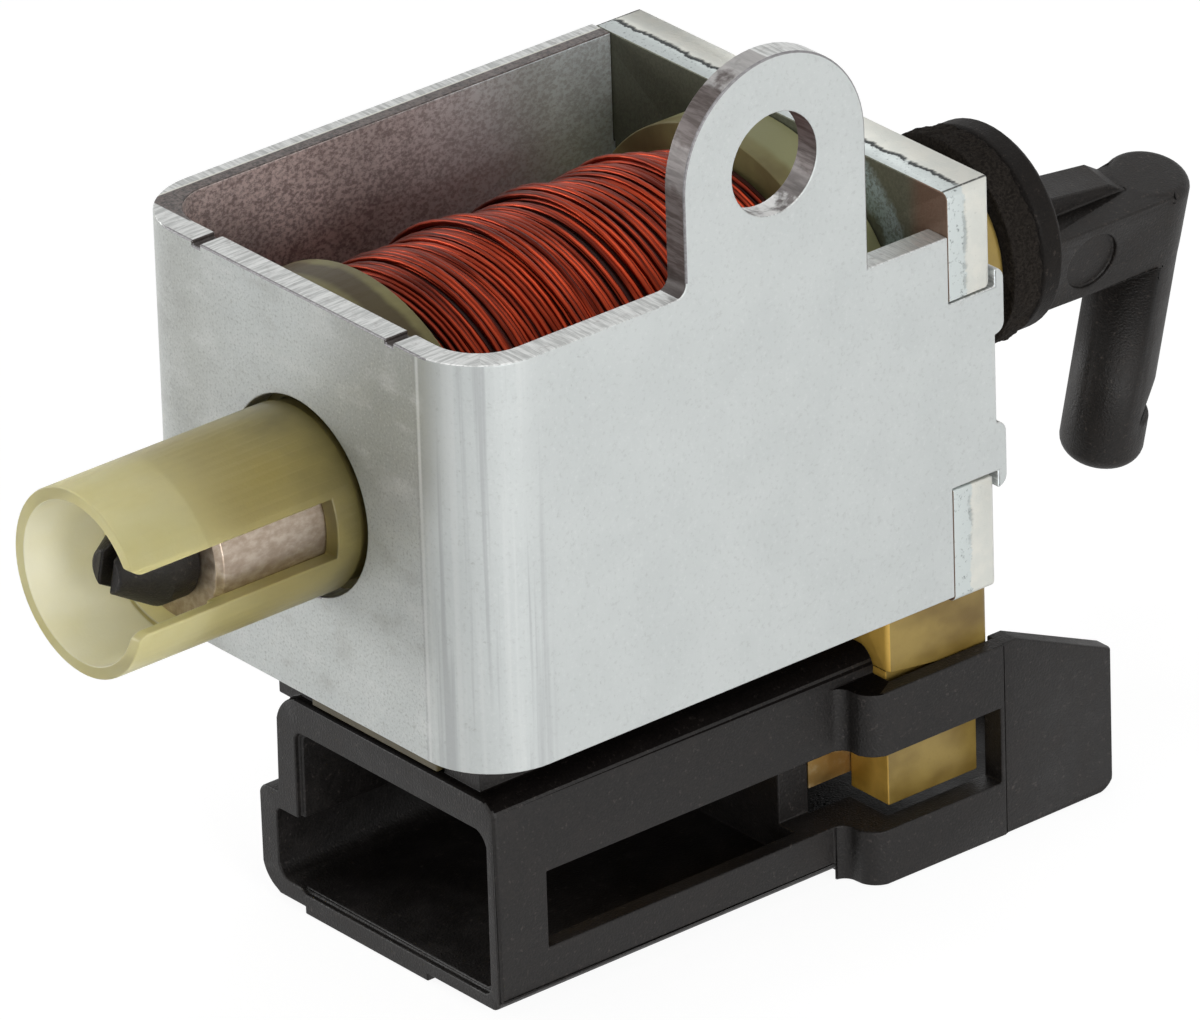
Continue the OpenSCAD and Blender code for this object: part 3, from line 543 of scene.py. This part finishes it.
# The leg's front faces: a paler lit copy, a painted glow
nylon_lit = natural_nylon("leg_front_painted_glow", pale=(0.86, 0.54, 0.11), deep=(0.46, 0.26, 0.035), clear=0.15)
# The foot in front of the housing: a dark copy, painted shade
nylon_foot_painted_shade = natural_nylon("foot_nylon_painted_shade", pale=(0.10, 0.08, 0.034), deep=(0.05, 0.038, 0.014), clear=0.1)
housing_black = black_plastic("housing_black", base=(0.0062, 0.0053, 0.0049), dusty=(0.0185, 0.0158, 0.0145),
                              roughness=0.5)
housing_shade = black_plastic("housing_shade", base=(0.0035, 0.0028, 0.0026), dusty=(0.0075, 0.0062, 0.0056),
                              roughness=0.6, gloss=0.02)
arm_black = black_plastic("arm_black", base=(0.0056, 0.0045, 0.0039), dusty=(0.0185, 0.0152, 0.0131),
                          roughness=0.54)
collar_black = black_plastic("collar_black", base=(0.0056, 0.0045, 0.0039), dusty=(0.014, 0.0115, 0.01),
                             roughness=0.6, gloss=0.12)
enamel = wire_enamel()
# Painted shade for the gaps between the coil's turns
under_turns_shade = painted_shade_enamel()
foam_black = sponge()
brass = stamped_brass()

# The bent frame: zinc outside, freckled inside, bright where it was cut

FRONT_FACE = 0.12
FRONT_INSIDE = 1.6
FRAME_MIDDLE = 15
BEND_END = 4.2
WALL_INSIDE = 12.35
WALL_OUTSIDE = 13.75
WALL_TOP = 11.37
EAR_FOOT = 12.2
EAR_FRONT, EAR_MIDDLE = 13, 20
EAR_HOLE_X, EAR_HOLE_Z, EAR_HOLE_REACH = 19.85, 16.7, 3.3
NICK_SIDE, NICK_HALF = 7.65, 0.34
NICK_FLOOR, NICK_TOP = 11, 11.33


def frame_face(place, normal):
    """The strip's finish: rolled rims dark with painted shade, torn, cut or freckled inside, and zinc
    elsewhere.
    """
    wall = abs(place.y) > WALL_INSIDE
    level = abs(normal.z) > 0.55
    cut_side = wall and abs(normal.y) < 0.6
    from_hole = math.hypot(place.x - EAR_HOLE_X, place.z - EAR_HOLE_Z)
    # Rolled rims: dark burr and painted shade
    if place.x < FRONT_FACE and normal.x < -0.25 and normal.z > 0.25:
        return rolled_edge_shade
    on_ear = place.y < -WALL_OUTSIDE and place.z > EAR_FOOT and from_hole > EAR_HOLE_REACH
    if on_ear and -0.97 < normal.y < -0.25:
        return rolled_edge_shade
    beside_nick = abs(abs(place.y) - NICK_SIDE) < NICK_HALF
    if beside_nick and place.x < FRONT_INSIDE and NICK_FLOOR < place.z < NICK_TOP:
        return ear_side
    if level and not wall:
        return edge_front
    if cut_side and place.y < 0 and from_hole < EAR_HOLE_REACH:
        return hole_side
    ear_front = place.z > WALL_TOP and EAR_FRONT < place.x < EAR_MIDDLE and normal.x < -0.05
    if cut_side and place.y < 0 and ear_front:
        return ear_side
    if cut_side and place.x > BEND_END:
        return edge_side
    if wall and level:
        return edge_side
    inward = normal.x * (FRAME_MIDDLE - place.x) - normal.y * place.y
    return inside if inward > 0.5 else zinc


frame_strip = softened_copy("frame", "bent_frame", width=0.1)
finish_faces(frame_strip, [zinc, edge_front, edge_side, inside, ear_side, hole_side, rolled_edge_shade], frame_face)
settle(frame_strip, "base", "frame")

# The end plate: sheared edges all round, dull inner face


def plate_face(place, normal):
    """The plate's finish, by the side that a face looks to."""
    if normal.x < -0.6:
        return plate_inside
    return zinc if normal.x > 0.6 else plate_edge


plate = softened_copy("end_plate", "sheared_end_plate", width=0.08)
finish_faces(plate, [plate_edge, plate_inside, zinc], plate_face)
settle(plate, "base", "end_plate")

# The nylon pieces

LEG_TOP = -11.2
FOOT_END = 20
LEG_REAR, LEG_REAR_EDGE, LEG_REAR_DROP = 35.8, -16.3, 0.9
CORNER_TOP, CORNER_HEIGHT = -11.5, 3
CORNER_SIDE, CORNER_ROUNDING = 10.5, 0.4
TUBE_BORE = 4.2
TUBE_ROOT, TUBE_MOUTH = 1, -9


def leg_corner(ends):
    """Whether an edge is one of the leg's upright corners."""
    low, high = sorted(ends, key=lambda end: end.z)
    upright = high.z - low.z > CORNER_HEIGHT and math.hypot(high.x - low.x, high.y - low.y) < 0.02
    return upright and high.z < CORNER_TOP and abs(low.y) > CORNER_SIDE


def shape_leg(bobbin):
    """Brings the leg's rear edge down to the housing and rounds the leg's upright corners."""
    bpy.ops.object.mode_set(mode="OBJECT")
    for vertex in bobbin.data.vertices:
        place = vertex.co / MM
        if place.x > LEG_REAR and abs(place.z - LEG_REAR_EDGE) < 0.1:
            vertex.co.z -= LEG_REAR_DROP * MM
    bpy.ops.object.mode_set(mode="EDIT")
    round_edges(bobbin, leg_corner, CORNER_ROUNDING, steps=5)


def bobbin_face(place, normal):
    """The nylon's finish, by the part of the moulding, with lit and shaded copies that paint light and shade.
    """
    if place.z < LEG_TOP:
        if place.x < FOOT_END:
            return nylon_foot_painted_shade
        # Front faces of the leg: painted glow
        return nylon_lit if normal.x < -0.5 else nylon_leg_and_shade
    if place.x > TUBE_ROOT and math.hypot(place.y, place.z) > TUBE_BORE:
        return nylon_flange_shade
    faces_axis = place.y * normal.y + place.z * normal.z < -2
    # Inner faces of the mouth: painted light
    return nylon_mouth_painted_light if place.x < TUBE_MOUTH and faces_axis else nylon


bobbin = softened_copy("bobbin", "nylon_bobbin", width=0.09, shape=shape_leg)
finish_faces(bobbin, [nylon, nylon_leg_and_shade, nylon_flange_shade, nylon_mouth_painted_light, nylon_foot_painted_shade, nylon_lit], bobbin_face)
settle(bobbin, "base", "bobbin")

guide = softened_copy("rear_guide", "nylon_guide", width=0.15)
guide.data.materials.append(nylon_leg_and_shade)
settle(guide, "base", "rear_guide")

# Wound wire, for the coil and the spring


def wound_wire(name, sides, thickness, first, out, pitch, turns, steps):
    """A wire wound round the axis with Screw, from a ring of its section."""
    bpy.ops.mesh.primitive_circle_add(vertices=sides, radius=thickness / 2 * MM,
                                      location=(first * MM, 0, out * MM), rotation=(math.pi / 2, 0, 0))
    wire = bpy.context.object
    wire.name = name
    bpy.ops.object.transform_apply(location=True, rotation=True, scale=True)
    wind = wire.modifiers.new("wind", "SCREW")
    wind.axis = "X"
    wind.screw_offset = pitch * MM
    wind.iterations = turns
    wind.steps = steps
    wind.render_steps = steps
    bpy.ops.object.modifier_apply(modifier="wind")
    return wire


def close_ends():
    """Closes both ends of the active wire and turns its faces outwards."""
    bpy.ops.object.mode_set(mode="EDIT")
    bpy.ops.mesh.select_all(action="SELECT")
    bpy.ops.mesh.fill_holes(sides=0)
    bpy.ops.mesh.normals_make_consistent(inside=False)
    bpy.ops.object.mode_set(mode="OBJECT")


# The coil: one even layer in bundles, loose turns lying over it and a barrel under it, dark with painted
# shade

COIL_FIRST, COIL_LAST = 4.6, 27.55
COIL_LENGTH = COIL_LAST - COIL_FIRST
COIL_TOP, COIL_BORE = 10.45, 5.55
FRONT_SLOPE, FRONT_DROP = 5, 0.75
BACK_SLOPE, BACK_DROP = 3.5, 0.5
BUNDLES, BUNDLE_RISE = 4, 0.28
WIRE, PITCH = 0.34, 0.352
WIRE_SIDES, TURN_STEPS = 7, 60
WOUND_AT = 10
SEATED = 0.22
SLIP_UP, SLIP_ASIDE = 0.085, 0.1
WAVE_UP, WAVE_ASIDE = 0.05, 0.09
WAVES_ALONG, WAVES_AROUND = 1.3, 1.6
SWELL, SWELLS_ALONG = 0.1, 0.55
SINKING_STEPS = 22
BARREL_SIDES, BARREL_CUTS = 72, 16
BARREL_UNDER = 0.45
LAYER_SEED, LOOSE_SEED = 3, 20

# Where each loose strand starts, its number of turns and its pitch
LOOSE_TURNS = [(6.4, 3, 0.62), (9.2, 2, 0.95), (12.0, 4, 0.5), (14.8, 2, -0.8),
               (16.4, 3, 0.66), (19.6, 3, -0.55), (21.0, 4, 0.58), (24.6, 2, -0.7)]


def eased(share):
    """A share from 0 to 1, eased at both ends."""
    return share * share * (3 - 2 * share)


def coil_top(x):
    """Radius of the winding's outside along the axis."""
    front = min(1, max(0, (x - COIL_FIRST) / FRONT_SLOPE))
    back = min(1, max(0, (COIL_LAST - x) / BACK_SLOPE))
    crown = COIL_TOP - FRONT_DROP * (1 - eased(front)) - BACK_DROP * (1 - eased(back))
    bundle = (x - COIL_FIRST) / COIL_LENGTH * BUNDLES
    from_middle = 2 * (bundle - math.floor(bundle)) - 1
    return min(crown, COIL_TOP - BUNDLE_RISE * from_middle ** 2)


def wound_strand(name, turns, first, pitch, seed, lift=0, loose=1, sink=0):
    """A strand of the coil: a wound wire laid on the winding, then let slip out of line.

    A loose strand is lifted off the layer, and its two ends sink back into it.
    """
    strand = wound_wire(name, WIRE_SIDES, WIRE, first, WOUND_AT, pitch, turns, TURN_STEPS)
    chance = random.Random(seed)
    slips = [(chance.gauss(0, 0.5), chance.gauss(0, 1)) for _ in range(turns + 3)]
    rings = len(strand.data.vertices) // WIRE_SIDES
    for vertex in strand.data.vertices:
        ring = vertex.index // WIRE_SIDES
        turn = ring / TURN_STEPS
        whole = int(turn)
        part = eased(turn - whole)
        up = slips[whole][0] * (1 - part) + slips[whole + 1][0] * part
        aside = slips[whole][1] * (1 - part) + slips[whole + 1][1] * part
        middle = first + pitch * turn
        out = math.hypot(vertex.co.y, vertex.co.z)
        around = vertex.co.y / out * WAVES_AROUND
        upwards = vertex.co.z / out * WAVES_AROUND
        swell = noise.noise(Vector((middle * SWELLS_ALONG, seed, 0)))
        wave = noise.noise(Vector((middle * WAVES_ALONG, around, upwards + seed)))
        radius = coil_top(middle) - WIRE / 2 - SEATED + lift
        radius += loose * (SLIP_UP * up + WAVE_UP * wave)
        radius += SWELL * swell
        from_end = min(ring, rings - 1 - ring) / SINKING_STEPS
        radius -= sink * max(0, 1 - from_end)
        new = (out / MM - WOUND_AT + radius) * MM
        vertex.co.y *= new / out
        vertex.co.z *= new / out
        vertex.co.x += loose * (SLIP_ASIDE * aside + WAVE_ASIDE * wave) * MM
    close_ends()
    bpy.ops.object.shade_smooth()
    return strand


def coil_barrel():
    """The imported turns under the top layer, as one barrel round the spool that follows the winding."""
    bpy.ops.mesh.primitive_cylinder_add(vertices=BARREL_SIDES, radius=WOUND_AT * MM, depth=COIL_LENGTH * MM,
                                        location=((COIL_FIRST + COIL_LENGTH / 2) * MM, 0, 0),
                                        rotation=(0, math.pi / 2, 0))
    barrel = bpy.context.object
    bpy.ops.object.transform_apply(location=True, rotation=True, scale=True)
    bpy.ops.object.mode_set(mode="EDIT")
    for cut in range(1, BARREL_CUTS):
        place = COIL_FIRST + COIL_LENGTH * cut / BARREL_CUTS
        bpy.ops.mesh.select_all(action="SELECT")
        bpy.ops.mesh.bisect(plane_co=(place * MM, 0, 0), plane_no=(1, 0, 0))
    bpy.ops.mesh.select_mode(type="FACE")
    bpy.ops.mesh.select_all(action="DESELECT")
    bpy.ops.object.mode_set(mode="OBJECT")
    for face in barrel.data.polygons:
        face.select = abs(face.normal.x) > 0.9
    bpy.ops.object.mode_set(mode="EDIT")
    bpy.ops.mesh.inset(thickness=(WOUND_AT - COIL_BORE) * MM)
    bpy.ops.mesh.bridge_edge_loops()
    bpy.ops.mesh.select_mode(type="VERT")
    bpy.ops.object.mode_set(mode="OBJECT")
    for vertex in barrel.data.vertices:
        out = math.hypot(vertex.co.y, vertex.co.z)
        if out > (WOUND_AT + COIL_BORE) / 2 * MM:
            new = (coil_top(vertex.co.x / MM) - BARREL_UNDER) * MM
            vertex.co.y *= new / out
            vertex.co.z *= new / out
    bpy.ops.object.shade_smooth_by_angle(angle=math.radians(30))
    return barrel


even_turns = int((COIL_LENGTH - WIRE) / PITCH)
strands = [wound_strand("coil_layer", even_turns, COIL_FIRST + WIRE / 2, PITCH, LAYER_SEED)]
for number, (first, turns, pitch) in enumerate(LOOSE_TURNS):
    strands.append(wound_strand(f"loose_turns_{number}", turns, first, pitch, LOOSE_SEED + number,
                                lift=0.2, loose=1.4, sink=0.6))
for strand in strands:
    strand.data.materials.append(enamel)
barrel = coil_barrel()
# The barrel's dark finish is painted shade in the gaps between turns
barrel.data.materials.append(under_turns_shade)
coil = strands[0]
pick(*strands, barrel)
bpy.ops.object.join()
coil.name = "copper_coil"
settle(coil, "base", "coil_winding")

# The return spring at rest; in the solenoid it shortens towards the pole piece as the plunger comes in

SPRING_FIRST, SPRING_LAST = 7.73, 24.23
SPRING_WIRE, SPRING_RADIUS, SPRING_TURNS = 0.4, 2.35, 9

spring_pitch = (SPRING_LAST - SPRING_FIRST - SPRING_WIRE) / SPRING_TURNS
spring = wound_wire("spring_coil", sides=10, thickness=SPRING_WIRE, first=SPRING_FIRST + SPRING_WIRE / 2,
                    out=SPRING_RADIUS, pitch=spring_pitch, turns=SPRING_TURNS, steps=40)
close_ends()
bpy.ops.object.shade_smooth_by_angle(angle=math.radians(50))
spring.data.materials.append(spring_steel)
settle(spring, "base", "return_spring")
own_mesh(spring)

# The moving pieces

COLLAR_END, ROD_OUTSIDE = 46.2, 3.2
FOAM_FIRST, FOAM_LAST = 42.3, 44.12
FOAM_HOLE, FOAM_OUTSIDE = 2.0, 5.9
FOAM_CUTS, FOAM_STEPS = 13, 230

# Size of the foam's cells, depth of their tears and the level that stays in place
FOAM_TEARS = [(1.6, 0.35, 0.6), (0.35, 0.22, 0.62)]


def arm_face(place, normal):
    """The arm's finish: the collar is duller than the rest."""
    on_collar = place.x < COLLAR_END and math.hypot(place.y, place.z) > ROD_OUTSIDE
    return collar_black if on_collar else arm_black


def foam_ring():
    """A ring of foam: its section spun round the axis, then torn up a little by Displace."""
    middle = ((FOAM_FIRST + FOAM_LAST) / 2 * MM, 0, (FOAM_HOLE + FOAM_OUTSIDE) / 2 * MM)
    bpy.ops.mesh.primitive_plane_add(size=1, location=middle, rotation=(math.pi / 2, 0, 0))
    washer = bpy.context.object
    washer.name = "foam_washer"
    washer.scale = ((FOAM_LAST - FOAM_FIRST) * MM, (FOAM_OUTSIDE - FOAM_HOLE) * MM, 1)
    bpy.ops.object.transform_apply(location=True, rotation=True, scale=True)
    bpy.ops.object.mode_set(mode="EDIT")
    bpy.ops.mesh.select_all(action="SELECT")
    bpy.ops.mesh.delete(type="ONLY_FACE")
    bpy.ops.mesh.select_all(action="SELECT")
    bpy.ops.mesh.subdivide(number_cuts=FOAM_CUTS)
    bpy.ops.mesh.spin(steps=FOAM_STEPS, angle=math.tau, center=(0, 0, 0), axis=(1, 0, 0))
    bpy.ops.mesh.select_all(action="SELECT")
    bpy.ops.mesh.remove_doubles(threshold=0.01 * MM)
    bpy.ops.mesh.normals_make_consistent(inside=False)
    bpy.ops.object.mode_set(mode="OBJECT")
    for size, depth, level in FOAM_TEARS:
        cells = bpy.data.textures.new("foam_cells", "CLOUDS")
        cells.noise_scale = size * MM
        cells.noise_depth = 2
        inner_grain = washer.modifiers.new("inner_grain", "DISPLACE")
        inner_grain.texture = cells
        inner_grain.texture_coords = "LOCAL"
        inner_grain.strength = depth * MM
        inner_grain.mid_level = level
        bpy.ops.object.modifier_apply(modifier="inner_grain")
    bpy.ops.object.shade_smooth()
    return washer


plunger = softened_copy("plunger", "ground_core", width=0.06)
plunger.data.materials.append(plunger_steel)
settle(plunger, "plunger", "plunger")

arm = softened_copy("lock_arm", "hooked_arm", width=0.12)
finish_faces(arm, [arm_black, collar_black], arm_face)
settle(arm, "arm", "lock_arm")

foam = foam_ring()
foam.data.materials.append(foam_black)
settle(foam, "arm", "foam_bumper")

# The connector

RIM_FRONT, RIM_ROUNDING = 4, 0.28
RIM_NEAR, RIM_FAR = -9.3, 6.3
RIM_UPPER, RIM_LOWER = -16.2, -26.7
SHADE_FROM, SHADE_END = -17.5, 29


def rim_edge(ends):
    """Whether an edge is one of the front rim's upper and near edges."""
    on_front = all(abs(end.x - RIM_FRONT) < 0.05 for end in ends)
    outside = all(end.y < RIM_NEAR for end in ends) or all(end.z > RIM_UPPER for end in ends)
    return on_front and outside and all(end.z > RIM_LOWER and end.y < RIM_FAR for end in ends)


def shape_rim(housing):
    """Rounds the front rim's upper and near edges more than the rest."""
    round_edges(housing, rim_edge, RIM_ROUNDING, steps=4)


def housing_face(place, normal):
    """The housing's finish: its top lies in the frame's shade."""
    shaded = normal.z > 0.5 and place.z > SHADE_FROM and place.x < SHADE_END
    return housing_shade if shaded else housing_black


housing = softened_copy("connector_housing", "plug_housing", width=0.1, join=0.08, shape=shape_rim)
finish_faces(housing, [housing_black, housing_shade], housing_face)
settle(housing, "base", "connector_housing")

# CAD nodes that stay as they are, with their finishes

for node, finish in {"pole_piece": pole_steel, "lead_start": enamel, "lead_finish": enamel,
                     "terminal_near": brass, "terminal_far": brass}.items():
    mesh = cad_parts[node].data
    mesh.materials.clear()
    mesh.materials.append(finish)

# Studio: a pale floor, a white surround and three soft lamps

FLOOR_RADIUS = 3
FLOOR_GAP = 0.0001
FLOOR_GLOW = 0.92
SURROUND_LIGHT = 0.13
LAMPS_FACE = (0.02, 0, 0)

bpy.ops.mesh.primitive_circle_add(vertices=64, radius=FLOOR_RADIUS, fill_type="NGON",
                                  location=(0, 0, cad_box[0][2] - FLOOR_GAP))
floor = bpy.context.object
floor.name = "studio_floor"


def seen_directly(mix):
    """1 for rays from the camera, from gloss and through clear parts, otherwise 0."""
    path = mix.tree.nodes.new("ShaderNodeLightPath")
    either = mix.worked("MAXIMUM", path.outputs["Is Camera Ray"], path.outputs["Is Glossy Ray"])
    return mix.worked("MAXIMUM", either, path.outputs["Is Transmission Ray"])


paper = bpy.data.materials.new("studio_paper")
paper.use_nodes = True
tree = paper.node_tree
tree.nodes.clear()
sheet = Mixing(tree)
seen = seen_directly(sheet)
matt = tree.nodes.new("ShaderNodeBsdfDiffuse")
tree.links.new(sheet.blend(seen, (0.86, 0.86, 0.86), (0.2, 0.2, 0.2)), matt.inputs["Color"])
glow = tree.nodes.new("ShaderNodeEmission")
tree.links.new(sheet.product(seen, FLOOR_GLOW), glow.inputs["Strength"])
both = tree.nodes.new("ShaderNodeAddShader")
tree.links.new(matt.outputs["BSDF"], both.inputs[0])
tree.links.new(glow.outputs["Emission"], both.inputs[1])
sheet_out = tree.nodes.new("ShaderNodeOutputMaterial")
tree.links.new(both.outputs["Shader"], sheet_out.inputs["Surface"])
floor.data.materials.append(paper)

world = bpy.data.worlds.new("studio_surround")
world.use_nodes = True
bpy.context.scene.world = world
surround = Mixing(world.node_tree)
background = world.node_tree.nodes["Background"]
background.inputs["Color"].default_value = (1, 1, 1, 1)
brightness = surround.between(seen_directly(surround), 0, 1, SURROUND_LIGHT, 1.0)
world.node_tree.links.new(brightness, background.inputs["Strength"])


def soft_lamp(name, towards, distance, size, power):
    """A square soft lamp that faces the part."""
    data = bpy.data.lights.new(name, "AREA")
    data.size = size
    data.energy = power
    lamp = bpy.data.objects.new(name, data)
    direction = Vector(towards).normalized()
    lamp.location = Vector(LAMPS_FACE) + direction * distance
    lamp.rotation_euler = direction.to_track_quat("Z", "Y").to_euler()
    bpy.context.scene.collection.objects.link(lamp)


soft_lamp("near_softbox", towards=(-0.2, -0.95, 0.16), distance=0.26, size=0.12, power=0.38)
soft_lamp("left_softbox", towards=(-0.55, 0.8, 0.12), distance=0.5, size=0.2, power=1.15)
soft_lamp("top_softbox", towards=(0, 0.1, 1), distance=0.6, size=0.4, power=0.9)
